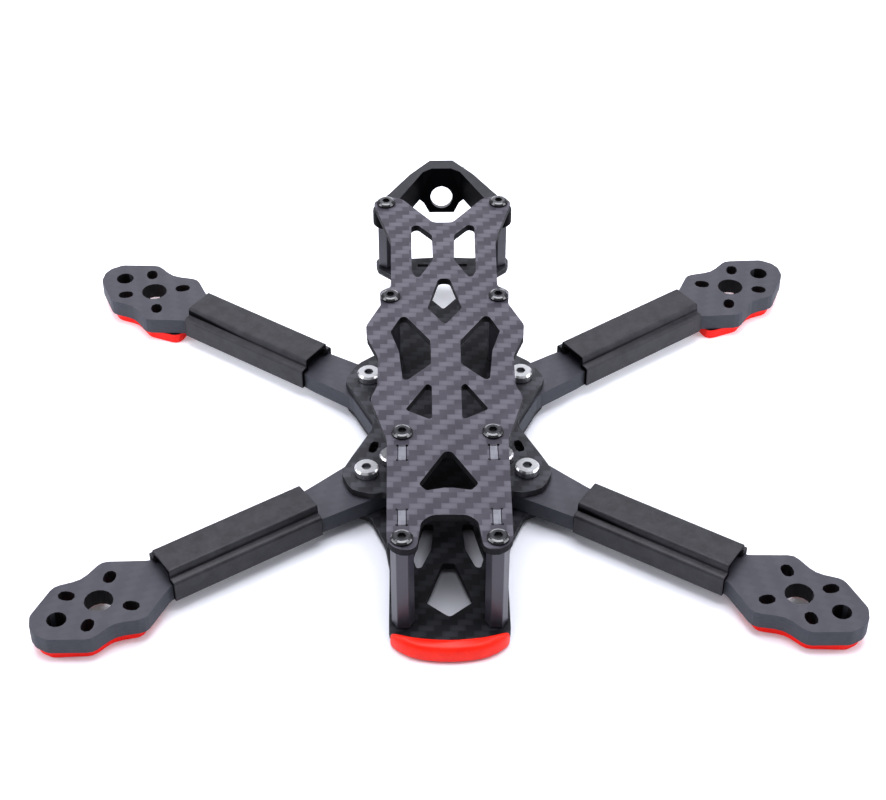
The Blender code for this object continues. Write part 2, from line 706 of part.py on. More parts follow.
def post_mesh(length):
    """A hexagonal standoff, bored through for the screws at its ends."""
    rings = [
        (POST_BORE_SIDES, CLEAR_RADIUS, 0.0), (6, POST_RADIUS, 0.0),
        (6, POST_RADIUS, length), (POST_BORE_SIDES, CLEAR_RADIUS, length),
    ]
    return turned_mesh("post_mesh", rings, closed=True)


def screw_mesh(name, socket, head, shaft):
    """A hexagon-socket screw, its head's underside at height 0.

    `socket` is (radius, floor height) and `head` lists (radius, height) from the top down."""
    top = head[0][1]
    rings = [(6, socket[0], socket[1]), (6, socket[0], top)]
    rings += [(HEAD_SIDES, radius, height) for radius, height in head]
    rings += [(SHAFT_SIDES, SHAFT_RADIUS, 0.0), (SHAFT_SIDES, SHAFT_RADIUS, -shaft)]
    return turned_mesh(name, rings, closed=False)


def nut_mesh():
    """A press nut: its barrel sits in the bottom plate and its flange is below it."""
    top = PLATE_THICKNESS - 0.3
    rings = [
        (16, NUT_FLANGE, -NUT_FLANGE_HEIGHT - FIT), (16, NUT_FLANGE, -FIT),
        (8, NUT_BARREL, -FIT), (8, NUT_BARREL, top), (8, CLEAR_RADIUS, top),
        (8, CLEAR_RADIUS, -NUT_FLANGE_HEIGHT - FIT),
    ]
    return turned_mesh("nut_mesh", rings, closed=True)


def standoffs_and_screws():
    short_post = post_mesh(STANDOFF_LENGTH)
    long_post = post_mesh(POST_HIGH - BOTTOM_HIGH - FIT)
    dome = [(1.9, BUTTON_HEIGHT), (2.45, 0.8), (BUTTON_RADIUS, 0.4), (BUTTON_RADIUS, 0.0)]
    button = screw_mesh("button_screw_mesh", BUTTON_SOCKET, dome, SCREW_LENGTH)
    thin = [(2.5, LOW_HEAD_HEIGHT), (BUTTON_RADIUS, 0.0)]
    low_head = screw_mesh("low_screw_mesh", LOW_SOCKET, thin, SCREW_LENGTH)
    for name, x, y, turn in POSTS:
        for side_name, side in SIDES:
            tag = name + "_" + side_name
            nose = name == "nose"
            foot = BOTTOM_HIGH if nose else MID_HIGH
            under = (BOTTOM_LOW if nose else MID_LOW) - FIT
            post = place("standoff_" + tag, long_post if nose else short_post,
                         "dark_aluminium", side * x, y, foot + FIT)
            post.rotation_euler = (0.0, 0.0, math.radians(turn))
            place("top_screw_" + tag, button, "black_steel", side * x, y, TOP_HIGH + FIT)
            place("lower_screw_" + tag, low_head if nose else button, "black_steel",
                  side * x, y, under, flip=True)


def clamp_fasteners():
    head = MID_HIGH + FIT
    broad = [(SILVER_RADIUS - 0.45, SILVER_HEIGHT), (SILVER_RADIUS, SILVER_HEIGHT - 0.5),
             (SILVER_RADIUS, 0.0)]
    screw = screw_mesh("silver_screw_mesh", SILVER_SOCKET, broad, head - BOTTOM_LOW + 0.6)
    nut = nut_mesh()
    for end_name, end, _ in ENDS:
        for side_name, side in SIDES:
            tag = end_name + "_" + side_name
            for kind, x, y in (("arm", *ARM_SCREW), ("stack", STACK, STACK)):
                place(kind + "_screw_" + tag, screw, "silver_steel", side * x, end * y, head)
                place(kind + "_nut_" + tag, nut, "silver_steel", side * x, end * y, BOTTOM_LOW)


# ---------------------------------------------------------------- assembly

def clear_scene():
    for ob in list(bpy.data.objects):
        bpy.data.objects.remove(ob, do_unlink=True)


def main():
    clear_scene()
    for name in MATERIALS:
        make_material(name)
    top_plate()
    mid_plate()
    bottom_plate()
    for end_name, end, motor in ENDS:
        for side_name, side in SIDES:
            frame = ArmFrame(side, end, motor)
            tag = end_name + "_" + side_name
            arm("arm_" + tag, frame)
            arm_pad("arm_pad_" + tag, frame)
            arm_cover("arm_cover_" + tag, frame)
    nose_bumper()
    tail_mount()
    for side_name, side in SIDES:
        camera_plate("camera_plate_" + side_name, side)
    standoffs_and_screws()
    clamp_fasteners()


main()
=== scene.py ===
"""Looks for the bare racing quadcopter frame: materials, softened moulded parts, studio."""

import json
import math

import bmesh
import bpy
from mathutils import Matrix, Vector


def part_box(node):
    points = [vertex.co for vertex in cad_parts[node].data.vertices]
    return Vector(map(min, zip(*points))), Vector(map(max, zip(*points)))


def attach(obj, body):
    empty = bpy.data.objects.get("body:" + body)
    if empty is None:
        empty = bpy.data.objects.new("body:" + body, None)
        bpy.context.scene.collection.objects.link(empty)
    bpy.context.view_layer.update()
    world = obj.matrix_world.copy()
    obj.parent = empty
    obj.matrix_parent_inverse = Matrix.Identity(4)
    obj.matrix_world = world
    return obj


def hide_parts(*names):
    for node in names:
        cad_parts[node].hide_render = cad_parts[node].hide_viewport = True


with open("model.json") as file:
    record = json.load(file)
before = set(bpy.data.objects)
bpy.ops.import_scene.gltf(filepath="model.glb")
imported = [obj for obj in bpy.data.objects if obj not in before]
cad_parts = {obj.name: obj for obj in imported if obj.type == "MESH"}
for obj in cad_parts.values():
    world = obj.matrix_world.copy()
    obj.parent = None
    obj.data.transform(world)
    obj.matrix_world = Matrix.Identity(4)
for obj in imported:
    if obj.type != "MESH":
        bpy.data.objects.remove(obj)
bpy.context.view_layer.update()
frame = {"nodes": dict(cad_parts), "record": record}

MM = 0.001


def span(node, axis):
    """Lowest and highest place of a CAD node along an axis, in millimetres."""
    low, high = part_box(node)
    return low[axis] / MM, high[axis] / MM


def axis_of(node):
    """Middle of a CAD node, seen from above, in millimetres."""
    x = sum(span(node, 0)) / 2.0
    y = sum(span(node, 1)) / 2.0
    return x, y


def motor_centres():
    """Places of the motors on the right-hand side, from the bores that the record states."""
    centres = []
    for opening in frame["record"]["physics"]["openings"]:
        low, high = opening["box_m"]
        if opening["name"].startswith("motor_bore") and low[0] > 0.0:
            centres.append(((low[0] + high[0]) / 2.0 / MM, (low[1] + high[1]) / 2.0 / MM))
    return centres


# ---------------------------------------------------------------- places, in millimetres

MOTORS = motor_centres()
MIDDLE_Y = sum(y for x, y in MOTORS) / 2.0        # middle of the motor pattern
MOTOR_ASIDE = sum(x for x, y in MOTORS) / 2.0     # from that middle to each motor, sideways
MOTOR_AHEAD = abs(MOTORS[0][1] - MIDDLE_Y)        # and forwards or backwards
POSTS = [axis_of("standoff_" + end + "_right") for end in ("tail", "shoulder", "neck", "nose")]
CLAMPS = [axis_of(kind + "_screw_" + end + "_right")
          for kind in ("arm", "stack") for end in ("front", "rear")]

ARM_ANGLE = math.radians(34.0)
MOTOR_SLOTS = 8.7            # reach of the bolt slots from a motor's centre
TIP_HOLE = (11.9, 3.0)       # outwards from the motor's centre, and its reach
FOOT_TOP = span("arm_pad_front_right", 2)[1]
FOOT_OPENING = 7.3           # a foot's inner walls lie this near its motor's centre
# How far below a foot's top its top face starts, for the painted shade there
FOOT_SHADE_DEPTH = 0.3
COVER_TOP = span("arm_cover_front_right", 2)[1]
COVER_SHADE_HIGH = (1.5, 2.0)    # below a cover's top, where the painted shade in its corner fades in
COVER_SHADE_LOW = (2.5, 2.65)    # and out again
TOP_PLATE_LOW = span("top_plate", 2)[0]
MID_PLATE_LOW = span("mid_plate", 2)[0]
TAB_GAP_BESIDE = 0.4         # slack beside a camera plate's tabs in their slots
TAB_GAP_BEHIND = 0.5         # and behind them

# Painted shade in the bay between the top plate and the mid plate, from the middle of the
# motors:
# where it fades out towards the back and the sides, and in upwards, just under the mid plate
BAY_SHADE_BACK = (-9.0, -5.0)
BAY_SHADE_SIDE = (14.5, 17.5)
BAY_SHADE_LOW = (MID_PLATE_LOW - 2.4, MID_PLATE_LOW - 0.4)

# How far from the middle line the painted glint on the plates' outer corners begins
GLINT_SIDE = (13.0, 15.0)

# Where the painted light on the floor (the paper glows) begins, beside the frame and behind its
# middle
GLOW_SIDE = (25.0, 45.0)
GLOW_BACK = (0.0, 20.0)

# The painted shade on the floor under the nose: half width, then front and back
NOSE_SHADE_WIDTH = (4.5, 9.5)
NOSE_SHADE_FRONT = (-77.0, -61.0)
NOSE_SHADE_BACK = (-20.0, 0.0)


# ---------------------------------------------------------------- patterns and colours

TOW = 2.03                   # width of one carbon tow, mm
ALONG_FIBRE = 0.25           # noise per millimetre along a tow
ACROSS_FIBRE = 7.0           # and across it, and across the layers of a cut edge
TOW_SHADES = 0.3             # share of the contrast that changes from tow to tow
FIBRE_SHADES = 0.4           # and from fibre to fibre
CLOUDS = 0.8                 # slow change of brightness over a plate

BLACK = (0.0, 0.0, 0.0)
# Painted light on the walls of the camera plates' tab slots
TAB_WALL_LIGHT = (0.3, 0.3, 0.33)
# Painted shade on the walls of the holes at the arms' motor ends
BORE_WALL_SHADE = (0.005, 0.004, 0.006)
# Painted highlight: the glint on the plates' outer corners
GLINT_COLOUR = (0.6, 0.6, 0.64)
# Painted shade on the antenna mount's upright faces
MOUNT_WALL_SHADE = (0.003, 0.003, 0.004)
# Painted shade on a foot's top and on the walls of its opening
FOOT_SHADE = (0.008, 0.007, 0.009)
# Painted shade on a wire cover's cut ends and in its corner
COVER_END_SHADE = (0.002, 0.002, 0.003)
# Painted shade: the dark rim of a black screw head
SCREW_RIM_SHADE = (0.004, 0.004, 0.005)


# ---------------------------------------------------------------- meshes and studio

WELD = 0.00002                       # points nearer than this are one point, m
FLAT = math.radians(1.0)             # faces that turn less than this are one flat face
CAD_CORNER = 40.0                    # edges of a CAD node that turn more are softened, degrees

SKY = (0.93, 0.95, 1.0, 1.0)
SKY_STRENGTH = 0.4
LAMP_COLOUR = (0.93, 0.94, 1.0)
FLOOR_HALF = 3.0                     # half the floor's width, m
FLOOR_GAP = 0.0002                   # the floor lies this far under the feet, m
PAPER = ((0.90, 0.905, 0.95), (0.92, 0.925, 0.97))
FLOOR_GLOW = (0.95, 0.96, 1.0)
GLOW_BESIDE = 0.1                    # strength of the painted light, the paper's glow, beside the frame
GLOW_BEHIND = 0.25                   # and behind it
# Colour and depth of the painted shade on the floor under the nose
NOSE_SHADE = (0.05, 0.05, 0.06)
NOSE_SHADE_DEPTH = 0.7

# The camera that was fitted to the photograph: sensor and lens in millimetres, then metres and
# radians
CAMERA_SENSOR = 36.0
CAMERA_LENS = 78.69
CAMERA_PLACE = (-0.00641, -0.42617, 0.36962)
CAMERA_DOWN = 0.7016
CAMERA_TURN = -0.0135
CAMERA_NEAR = 0.01


# ---------------------------------------------------------------- node graphs

class Graph:
    """Builds one procedural material from small expressions."""

    def __init__(self, name):
        self.material = bpy.data.materials.new(name)
        self.material.use_nodes = True
        self.tree = self.material.node_tree
        self.tree.nodes.clear()
        self.output = self.node("ShaderNodeOutputMaterial")
        self.shader = self.node("ShaderNodeBsdfPrincipled")
        self.link(self.shader.outputs[0], self.output.inputs["Surface"])

    def node(self, kind, **settings):
        made = self.tree.nodes.new(kind)
        for key, value in settings.items():
            setattr(made, key, value)
        return made

    def link(self, value, socket):
        """Feed a socket from another socket, a colour or a number."""
        if isinstance(value, bpy.types.NodeSocket):
            self.tree.links.new(value, socket)
        elif socket.type == "RGBA" and len(value) == 3:
            socket.default_value = (*value, 1.0)
        else:
            socket.default_value = value

    def math(self, operation, *values, clamp=False):
        made = self.node("ShaderNodeMath", operation=operation, use_clamp=clamp)
        for value, socket in zip(values, made.inputs):
            self.link(value, socket)
        return made.outputs[0]

    def add(self, a, b):
        return self.math("ADD", a, b)

    def sub(self, a, b):
        return self.math("SUBTRACT", a, b)

    def mul(self, a, b):
        return self.math("MULTIPLY", a, b)

    def inverse(self, value):
        return self.sub(1.0, value)

    def mix(self, factor, a, b):
        """From colour a to colour b.  The node has a numbered pair of inputs per kind."""
        made = self.node("ShaderNodeMix", data_type="RGBA")
        self.link(factor, made.inputs["Factor"])
        self.link(a, made.inputs[6])
        self.link(b, made.inputs[7])
        return made.outputs[2]

    def blend(self, factor, a, b):
        """From number a to number b."""
        made = self.node("ShaderNodeMix", data_type="FLOAT")
        self.link(factor, made.inputs["Factor"])
        self.link(a, made.inputs[2])
        self.link(b, made.inputs[3])
        return made.outputs[0]

    def step(self, value, low, high):
        """A smooth rise from 0 at one limit to 1 at the other."""
        made = self.node("ShaderNodeMapRange", interpolation_type="SMOOTHSTEP")
        self.link(value, made.inputs["Value"])
        self.link(low, made.inputs["From Min"])
        self.link(high, made.inputs["From Max"])
        return made.outputs[0]

    def split(self, vector):
        made = self.node("ShaderNodeSeparateXYZ")
        self.link(vector, made.inputs[0])
        return made.outputs

    def vector(self, x, y, z):
        made = self.node("ShaderNodeCombineXYZ")
        for value, socket in zip((x, y, z), made.inputs):
            self.link(value, socket)
        return made.outputs[0]

    def position(self):
        """Place on the object, as three numbers in millimetres."""
        place = self.node("ShaderNodeTexCoord").outputs["Object"]
        return [self.mul(axis, 1.0 / MM) for axis in self.split(place)]

    def facing(self):
        """How far the surface faces along each axis, from 0 to 1 (a flat top is 0, 0, 1)."""
        normal = self.node("ShaderNodeTexCoord").outputs["Normal"]
        return [self.math("ABSOLUTE", axis) for axis in self.split(normal)]

    def noise(self, vector, scale, detail=2.0, roughness=0.5):
        """Cloudy noise, `scale` times as fine as the vector's own unit."""
        made = self.node("ShaderNodeTexNoise")
        self.link(vector, made.inputs["Vector"])
        made.inputs["Scale"].default_value = scale
        made.inputs["Detail"].default_value = detail
        made.inputs["Roughness"].default_value = roughness
        return made.outputs["Fac"]

    def random(self, vector):
        made = self.node("ShaderNodeTexWhiteNoise", noise_dimensions="3D")
        self.link(vector, made.inputs["Vector"])
        return made.outputs["Value"]

    def centred(self, value, amount):
        """A 0 to 1 pattern turned into a change of up to half the amount either way."""
        return self.mul(self.sub(value, 0.5), amount)

    def finish(self, colour, roughness, height=None, depth=0.05, **shader):
        """Connect the shader.  `depth` is the relief in millimetres.

        Further inputs of the shader go by their names, with underscores for the spaces."""
        self.link(colour, self.shader.inputs["Base Color"])
        self.link(roughness, self.shader.inputs["Roughness"])
        for name, value in shader.items():
            self.link(value, self.shader.inputs[name.replace("_", " ")])
        if height is not None:
            bump = self.node("ShaderNodeBump")
            bump.inputs["Distance"].default_value = depth * MM
            self.link(height, bump.inputs["Height"])
            self.link(bump.outputs[0], self.shader.inputs["Normal"])
        return self.material


# ---------------------------------------------------------------- measures in a graph

def within(g, value, low, high):
    """1 where a value is between two limits."""
    return g.mul(g.math("GREATER_THAN", value, low), g.math("LESS_THAN", value, high))


def square(g, x, y, cx, cy, reach):
    """1 inside a square round a point."""
    return g.mul(within(g, x, cx - reach, cx + reach), within(g, y, cy - reach, cy + reach))


def nearest(g, x, y, centres):
    """Distance to the nearest of some upright axes."""
    found = None
    for cx, cy in centres:
        dx = g.sub(x, cx)
        dy = g.sub(y, cy)
        distance = g.math("SQRT", g.add(g.mul(dx, dx), g.mul(dy, dy)))
        found = g.math("MINIMUM", found, distance) if found else distance
    return found


def along_arm(x, y, g=None):
    """A place turned to an arm's own directions, as numbers or in a node graph."""
    c = math.cos(ARM_ANGLE)
    s = math.sin(ARM_ANGLE)
    if g:
        x = g.math("ABSOLUTE", x)
        y = g.math("ABSOLUTE", y)
        return g.add(g.mul(x, c), g.mul(y, s)), g.sub(g.mul(y, c), g.mul(x, s))
    return x * c + y * s, y * c - x * s


# ---------------------------------------------------------------- carbon laminate

def arch(g, run):
    """A hump over 0 to 1, and nothing outside it."""
    return g.math("MULTIPLY", g.mul(run, g.inverse(run)), 4.0, clamp=True)


def twill(g, x, y):
    """Two-by-two twill: (1 where the tow along x is on top, crown of the float, its shade).

    `phase` counts the four columns of the pattern: a tow along x floats over the first two."""
    u = g.math("DIVIDE", x, TOW)
    v = g.math("DIVIDE", y, TOW)
    across_u = g.math("FRACT", u)
    across_v = g.math("FRACT", v)
    column = g.math("FLOOR", u)
    row = g.math("FLOOR", v)
    phase = g.math("FLOORED_MODULO", g.sub(column, row), 4.0)
    along_x = g.math("LESS_THAN", phase, 1.5)
    run_x = g.mul(g.add(phase, across_u), 0.5)
    run_y = g.mul(g.sub(g.sub(phase, 1.0), across_v), 0.5)
    crown_x = g.mul(arch(g, across_v), arch(g, run_x))
    crown_y = g.mul(arch(g, across_u), arch(g, run_y))
    crown = g.math("POWER", g.blend(along_x, crown_y, crown_x), 0.6)
    diagonal = g.math("FLOOR", g.mul(g.sub(column, row), 0.25))
    return along_x, crown, g.random(g.vector(diagonal, row, 3.0))


def weave(g, x, y, z, contrast):
    """The laminate's face: (its brightness from 0 to 1, crown of the float, fibres)."""
    along_x, crown, shade = twill(g, x, y)
    strands_x = g.vector(g.mul(x, ALONG_FIBRE), g.mul(y, ACROSS_FIBRE), 0.0)
    strands_y = g.vector(g.mul(x, ACROSS_FIBRE), g.mul(y, ALONG_FIBRE), 5.0)
    fibre = g.blend(along_x, g.noise(strands_y, 1.0), g.noise(strands_x, 1.0))
    cloud = g.noise(g.vector(x, y, z), 0.12)
    # The tows along x and the crowns of their floats are brighter: the twill's own pattern, and
    # painted sheen of the lamps on the fibres
    tows_and_sheen = g.mul(along_x, g.add(0.5, g.mul(crown, 0.5)))
    bright = g.add(0.5, g.centred(tows_and_sheen, contrast))
    bright = g.add(bright, g.centred(shade, TOW_SHADES * contrast))
    bright = g.add(bright, g.centred(fibre, FIBRE_SHADES * contrast))
    bright = g.math("ADD", bright, g.centred(cloud, CLOUDS), clamp=True)
    return bright, crown, fibre


def cut_edge(g, x, y, z, side):
    """A cut edge: (its colour, its pattern of thin layers)."""
    across = g.vector(g.mul(x, 0.6), g.mul(y, 0.6), g.mul(z, ACROSS_FIBRE))
    layers = g.noise(across, 1.0, 2.0, 0.6)
    return g.mix(g.step(layers, 0.3, 0.7), g.mix(0.25, side, BLACK), side), layers


def glint_corners(g, x, upward):
    """1 on the corners between cut edge and flat face, at the plate's outer outline, where the
    painted glint goes.
    """
    outer = g.step(g.math("ABSOLUTE", x), *GLINT_SIDE)
    corner = g.mul(g.step(upward, 0.1, 0.3), g.inverse(g.step(upward, 0.93, 0.99)))
    return g.mul(corner, outer)


def carbon(name, light, dark, side, contrast=1.0, turned=False, roughness=0.4, relief=0.02,
           tune=None, glint=0.0, **shader):
    """Carbon laminate: twill on its flat faces and thin layers on its cut edges.

    `light` and `dark` are the colours of the faces and `side` is that of the cut edges.
    `turned` lays the weave along the arms.  `tune` takes the graph, the place, the colours of
    the face and of the cut edge and the shader's inputs, and returns both colours.  `glint` is
    how pale the painted glint, a painted highlight, on the outer corners is."""
    g = Graph(name)
    x, y, z = g.position()
    y = g.sub(y, MIDDLE_Y)
    if turned:
        x, y = along_arm(x, y, g)
    bright, crown, fibre = weave(g, x, y, z, contrast)
    face = g.mix(bright, dark, light)
    if tune:
        face, side = tune(g, (x, y, z), face, side, shader)
    side, layers = cut_edge(g, x, y, z, side)
    upward = g.facing()[2]
    flat = g.step(upward, 0.55, 0.9)
    colour = g.mix(flat, side, face)
    if glint:
        # Painted highlight: a pale glint on the outer corners
        colour = g.mix(g.mul(glint_corners(g, x, upward), glint), colour, GLINT_COLOUR)
    rough = g.blend(flat, 0.7, g.add(roughness, g.centred(fibre, 0.15)))
    height = g.blend(flat, g.mul(layers, 0.5), g.add(crown, g.mul(fibre, 0.25)))
    return g.finish(colour, rough, height, relief, **shader)


def shaded_bores(g, place, face, side, shader):
    """Painted shade: the walls of the holes at the arms' motor ends are painted black."""
    x, y, z = place
    u, v = along_arm(MOTOR_ASIDE, MOTOR_AHEAD)
    slots = square(g, x, y, u, v, MOTOR_SLOTS)
    tip = square(g, x, y, u + TIP_HOLE[0], v, TIP_HOLE[1])
    return face, g.mix(g.math("MAXIMUM", slots, tip), side, BORE_WALL_SHADE)


def shaded_bay(g, place, face, side, shader):
    """Painted shade: the lower plates are painted dark and dull where the top plate covers them.
    """
    x, y, z = place
    front = g.mul(g.inverse(g.step(y, *BAY_SHADE_BACK)), g.step(z, *BAY_SHADE_LOW))
    beside = g.step(g.math("ABSOLUTE", x), *BAY_SHADE_SIDE)
    bay_shade = g.mul(g.math("MAXIMUM", g.mul(front, 0.9), 0.35), g.inverse(beside))
    shader["Specular_IOR_Level"] = g.blend(bay_shade, 0.5, 0.02)
    return g.mix(bay_shade, face, BLACK), side


def lit_tab_slots(g, place, face, side, shader):
    """The tabs of the camera plates fill their slots; the walls there are painted pale, painted
    light where the thin gaps would be shaded.
    """
    x, y, z = place
    low, high = span("camera_plate_right", 0)
    front, back = span("camera_plate_right", 1)
    near = within(g, g.math("ABSOLUTE", x), low - TAB_GAP_BESIDE, high + TAB_GAP_BESIDE)
    near = g.mul(near, within(g, y, front - MIDDLE_Y, back - MIDDLE_Y + TAB_GAP_BEHIND))
    return face, g.mix(g.mul(near, g.math("GREATER_THAN", z, TOP_PLATE_LOW)), side, TAB_WALL_LIGHT)


# ---------------------------------------------------------------- plastics

def moulded(name, low, high, roughness, grain=1.2, layer=0.0, relief=0.03, tune=None,
            **shader):
    """Moulded or printed plastic: a fine grain, with layer lines where it is printed.

    `low` and `high` are the darkest and the palest colour, and `layer` is the height of a line.
    `tune` takes the graph, the place, the colour and the shader's inputs, and returns the
    colour as it changes over the piece."""
    g = Graph(name)
    x, y, z = g.position()
    place = g.vector(x, y, z)
    mottle = g.noise(place, 0.25, 3.0)
    fine = g.noise(place, grain, 4.0, 0.65)
    height = fine
    if layer:
        line = g.math("PINGPONG", g.add(z, g.mul(mottle, 0.05)), layer)
        height = g.add(g.mul(fine, 0.5), g.mul(line, 1.0 / layer))
    tone = g.math("ADD", g.mul(mottle, 0.6), g.mul(fine, 0.5), clamp=True)
    colour = g.mix(g.step(tone, 0.3, 0.75), low, high)
    if tune:
        colour = tune(g, (x, y, z), colour, shader)
    rough = g.add(roughness, g.centred(fine, 0.2))
    return g.finish(colour, rough, height, relief, **shader)


def shaded_walls(g, place, colour, shader):
    """Painted shade: the antenna mount's upright faces are painted nearly black and dull."""
    flat = g.step(g.facing()[2], 0.4, 0.8)
    shader["Specular_IOR_Level"] = g.blend(flat, 0.04, 0.3)
    return g.mix(flat, MOUNT_WALL_SHADE, colour)


def shaded_foot(g, place, colour, shader):
    """Painted shade: a foot's top face, under the arm, and the walls of its opening are painted
    black.
    """
    x, y, z = place
    upward = g.facing()[2]
    high = g.math("GREATER_THAN", z, FOOT_TOP - FOOT_SHADE_DEPTH)
    top = g.mul(g.step(upward, 0.8, 0.9), high)
    reach = nearest(g, g.math("ABSOLUTE", x), y, MOTORS)
    inside = g.math("LESS_THAN", reach, FOOT_OPENING)
    wall = g.mul(g.inverse(g.step(upward, 0.3, 0.5)), inside)
    return g.mix(g.math("MAXIMUM", top, wall), colour, FOOT_SHADE)


def cover_shading(g, place, colour, shader):
    """Painted shade: a wire cover's cut ends are painted black, and the corner where its tunnel
    rises is painted dark.
    """
    faces = g.facing()
    along = g.add(g.mul(faces[0], math.cos(ARM_ANGLE)), g.mul(faces[1], math.sin(ARM_ANGLE)))
    drop = g.sub(COVER_TOP, place[2])
    corner = g.mul(g.step(drop, *COVER_SHADE_HIGH), g.inverse(g.step(drop, *COVER_SHADE_LOW)))
    corner = g.mul(corner, g.inverse(g.step(faces[2], 0.3, 0.5)))
    dark = g.math("MAXIMUM", g.step(along, 0.93, 0.97), g.mul(corner, 0.45))
    shader["Specular_IOR_Level"] = g.blend(dark, 0.4, 0.05)
    return g.mix(dark, colour, COVER_END_SHADE)


# ---------------------------------------------------------------- metals

def metal(name, colour, roughness, grain=6.0, worn=0.1, sockets=None, socket=(), rim=None,
          **shader):
    """Turned or anodised metal with faint wear.

    `sockets` are the axes of the heads that have one, `socket` is the colour of the painted
    shade in a socket and the socket's radius, and `rim` is the radius where a head's dark rim of
    painted shade starts."""
    g = Graph(name)
    x, y, z = g.position()
    scratch = g.noise(g.vector(x, y, g.mul(z, 0.2)), grain, 3.0, 0.7)
    cloud = g.noise(g.vector(x, y, z), 0.6)
    tint = g.mix(cloud, [c * (1.0 - worn) for c in colour], colour)
    if sockets:
        socket_shade, socket_radius = socket
        radius = nearest(g, g.math("ABSOLUTE", x), y, sockets)
        # Painted shade in a socket
        tint = g.mix(g.step(radius, socket_radius, socket_radius + 0.15), socket_shade, tint)
        if rim:
            # Painted shade: a dark rim round the head
            tint = g.mix(g.step(radius, rim - 0.1, rim + 0.2), tint, SCREW_RIM_SHADE)
    rough = g.add(roughness, g.centred(scratch, 0.12))
    return g.finish(tint, rough, scratch, 0.006, **shader)


# ---------------------------------------------------------------- the object's materials

def carbon_materials():
    return {
        "top": carbon("woven_carbon_top", (0.107, 0.101, 0.120), (0.043, 0.039, 0.050),
                      (0.008, 0.008, 0.010), contrast=0.8, roughness=0.5, tune=lit_tab_slots,
                      glint=0.4, Specular_IOR_Level=0.26),
        # A darker copy of the top plate's carbon: painted shade on the lower plates, which lie
        # under it
        "inner": carbon("woven_carbon_inner", (0.044, 0.044, 0.054), (0.010, 0.010, 0.0135),
                        (0.014, 0.014, 0.017), contrast=0.9, roughness=0.45,
                        tune=shaded_bay, glint=0.4),
        "wall": carbon("woven_carbon_wall", (0.19, 0.19, 0.21), (0.13, 0.13, 0.15),
                       (0.006, 0.006, 0.008), contrast=0.5, roughness=0.5, tune=lit_tab_slots),
        "arm": carbon("arm_carbon", (0.059, 0.058, 0.071), (0.035, 0.034, 0.045),
                      (0.056, 0.060, 0.073), contrast=0.3, turned=True, roughness=0.5,
                      relief=0.006, tune=shaded_bores),
    }


def plastic_materials():
    return {
        "cover": moulded("cover_plastic", (0.0145, 0.0138, 0.0165), (0.033, 0.0315, 0.0365), 0.5,
                         grain=0.8, tune=cover_shading),
        "foot": moulded("red_foot_plastic", (0.86, 0.012, 0.007), (0.95, 0.018, 0.010), 0.42,
                        layer=0.12, relief=0.006, tune=shaded_foot,
                        Specular_IOR_Level=0.25),
        "red": moulded("red_soft_plastic", (0.80, 0.015, 0.006), (0.90, 0.026, 0.008), 0.34,
                       layer=0.12, relief=0.006, Specular_IOR_Level=0.28),
        "mount": moulded("mount_soft_plastic", (0.013, 0.013, 0.016), (0.026, 0.026, 0.031),
                         0.5, layer=0.12, relief=0.008, tune=shaded_walls),
    }


def metal_materials():
    return {
        "black": metal("black_oxide", (0.030, 0.030, 0.034), 0.2, sockets=POSTS,
                       socket=((0.004, 0.004, 0.005), 1.15), rim=2.1, IOR=1.8),
        "silver": metal("bright_steel", (0.74, 0.74, 0.75), 0.3, sockets=CLAMPS,
                        socket=((0.30, 0.30, 0.32), 1.25), Metallic=1.0),
        "post": metal("grey_anodised", (0.056, 0.054, 0.068), 0.36, IOR=1.55),
    }


# ---------------------------------------------------------------- shapes

def paint(ob, material):
    ob.data.materials.clear()
    ob.data.materials.append(material)


def smooth(mesh, angle):
    mesh.shade_smooth()
    mesh.set_sharp_from_angle(angle=math.radians(angle))


def clean_copy(node, name):
    """A new piece with a CAD node's shape: one welded skin with flat faces merged."""
    bm = bmesh.new()
    bm.from_mesh(frame["nodes"][node].data)
    bmesh.ops.remove_doubles(bm, verts=bm.verts, dist=WELD)
    bmesh.ops.dissolve_limit(bm, angle_limit=FLAT, verts=bm.verts, edges=bm.edges)
    mesh = bpy.data.meshes.new(name)
    bm.to_mesh(mesh)
    bm.free()
    ob = bpy.data.objects.new(name, mesh)
    bpy.context.scene.collection.objects.link(ob)
    return ob


def soften(ob, width, segments, angle):
    """Round the edges that turn more than an angle, by a width in millimetres."""
    bevel = ob.modifiers.new("edges", "BEVEL")
    bevel.width = width * MM
    bevel.segments = segments
    bevel.limit_method = "ANGLE"
    bevel.angle_limit = math.radians(angle)
    bevel.harden_normals = True


def moulded_piece(node, name, material, width, segments, angle=30.0):
    """Replace a CAD node by a copy of itself with rounded edges."""
    ob = clean_copy(node, name)
    paint(ob, material)
    smooth(ob.data, angle)
    soften(ob, width, segments, angle)
    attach(ob, "root")
    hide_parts(node)
    return ob


def refine(ob, width):
    """Take the knife edge off a CAD node at render time."""
    weld = ob.modifiers.new("weld", "WELD")
    weld.merge_threshold = WELD
    merge = ob.modifiers.new("merge_flats", "DECIMATE")
    merge.decimate_type = "DISSOLVE"
    merge.angle_limit = FLAT
    soften(ob, width, 2, CAD_CORNER)


# ---------------------------------------------------------------- studio

def sky():
    world = bpy.data.worlds.new("studio")
    bpy.context.scene.world = world
    world.use_nodes = True
    background = world.node_tree.nodes["Background"]
    background.inputs["Color"].default_value = SKY
    background.inputs["Strength"].default_value = SKY_STRENGTH


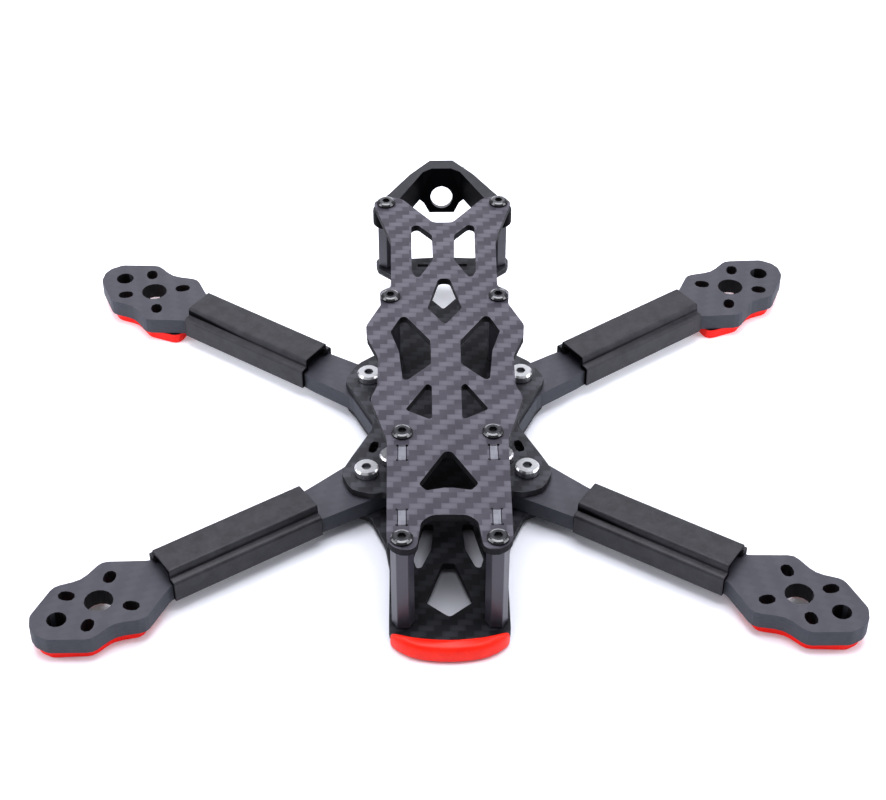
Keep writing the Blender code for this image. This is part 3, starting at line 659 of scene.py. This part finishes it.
def floor_paper():
    """Pale paper, with painted light beside and behind the frame, where the paper glows, and
    painted shade under the nose.
    """
    g = Graph("floor_paper")
    x, y, z = g.position()
    aside = g.math("ABSOLUTE", x)
    paper = g.mix(g.noise(g.vector(x, y, z), 0.8, 3.0), *PAPER)
    shade = g.inverse(g.step(aside, *NOSE_SHADE_WIDTH))
    shade = g.mul(shade, g.step(y, *NOSE_SHADE_FRONT))
    shade = g.mul(shade, g.inverse(g.step(y, *NOSE_SHADE_BACK)))
    # Painted light: the paper glows beside and behind the frame
    glow = g.math("MAXIMUM", g.mul(g.step(aside, *GLOW_SIDE), GLOW_BESIDE),
                  g.mul(g.step(y, *GLOW_BACK), GLOW_BEHIND))
    # Painted shade on the floor under the nose
    colour = g.mix(g.mul(shade, NOSE_SHADE_DEPTH), paper, NOSE_SHADE)
    return g.finish(colour, 0.8, Specular_IOR_Level=0.2, Emission_Color=FLOOR_GLOW,
                    Emission_Strength=glow)


def lay_floor():
    half = FLOOR_HALF
    mesh = bpy.data.meshes.new("floor")
    mesh.from_pydata([(-half, -half, 0), (half, -half, 0), (half, half, 0), (-half, half, 0)],
                     [], [(0, 1, 2, 3)])
    floor = bpy.data.objects.new("floor", mesh)
    floor.location.z = -FLOOR_GAP
    bpy.context.scene.collection.objects.link(floor)
    paint(floor, floor_paper())


def lamp(name, location, size, power):
    """A soft square lamp that shines at the middle of the floor."""
    light = bpy.data.lights.new(name, "AREA")
    light.size = size
    light.energy = power
    light.color = LAMP_COLOUR
    ob = bpy.data.objects.new(name, light)
    ob.location = location
    x, y, z = location
    ob.rotation_euler = (math.atan2(math.hypot(x, y), z), 0.0, math.atan2(x, -y))
    bpy.context.scene.collection.objects.link(ob)


def camera():
    data = bpy.data.cameras.new("camera")
    data.sensor_width = CAMERA_SENSOR
    data.lens = CAMERA_LENS
    data.clip_start = CAMERA_NEAR
    ob = bpy.data.objects.new("camera", data)
    ob.location = CAMERA_PLACE
    ob.rotation_euler = (math.pi / 2 - CAMERA_DOWN, 0.0, CAMERA_TURN)
    bpy.context.scene.collection.objects.link(ob)
    bpy.context.scene.camera = ob


# ---------------------------------------------------------------- assembly

look = {**carbon_materials(), **plastic_materials(), **metal_materials()}

# How the names of the CAD nodes that stay begin, their material, and the width of their softened
# edges in millimetres (0 leaves them sharp)
FINISHES = (
    (("top_plate",), "top", 0.2),
    (("mid_plate", "bottom_plate"), "inner", 0.16),
    (("camera_plate",), "wall", 0.06),
    (("arm_front", "arm_rear"), "arm", 0.25),
    (("standoff",), "post", 0.18),
    (("arm_screw", "stack_screw", "arm_nut", "stack_nut"), "silver", 0.0),
    (("top_screw", "lower_screw"), "black", 0.0),
)

for name, node in frame["nodes"].items():
    for starts, material, edge in FINISHES:
        if name.startswith(starts):
            paint(node, look[material])
            if edge:
                refine(node, edge)

for end in ("front", "rear"):
    for side in ("left", "right"):
        tag = end + "_" + side
        moulded_piece("arm_pad_" + tag, "soft_foot_" + tag, look["foot"], 0.3, 2)
        moulded_piece("arm_cover_" + tag, "wire_cover_" + tag, look["cover"],
                      0.3, 2)
moulded_piece("nose_bumper", "nose_lip", look["red"], 0.12, 1, 40.0)
moulded_piece("tail_mount", "antenna_mount", look["mount"], 0.35, 2)

sky()
lay_floor()
lamp("overhead", (0.0, 0.12, 1.0), 0.8, 11.0)
lamp("rear", (0.0, 1.1, 0.3), 0.7, 3.5)
lamp("left", (-0.8, -0.1, 0.45), 0.5, 3.0)
lamp("right", (0.8, -0.1, 0.45), 0.5, 3.0)
camera()
bpy.context.scene.view_settings.view_transform = "Standard"
bpy.context.scene.view_settings.look = "Medium High Contrast"
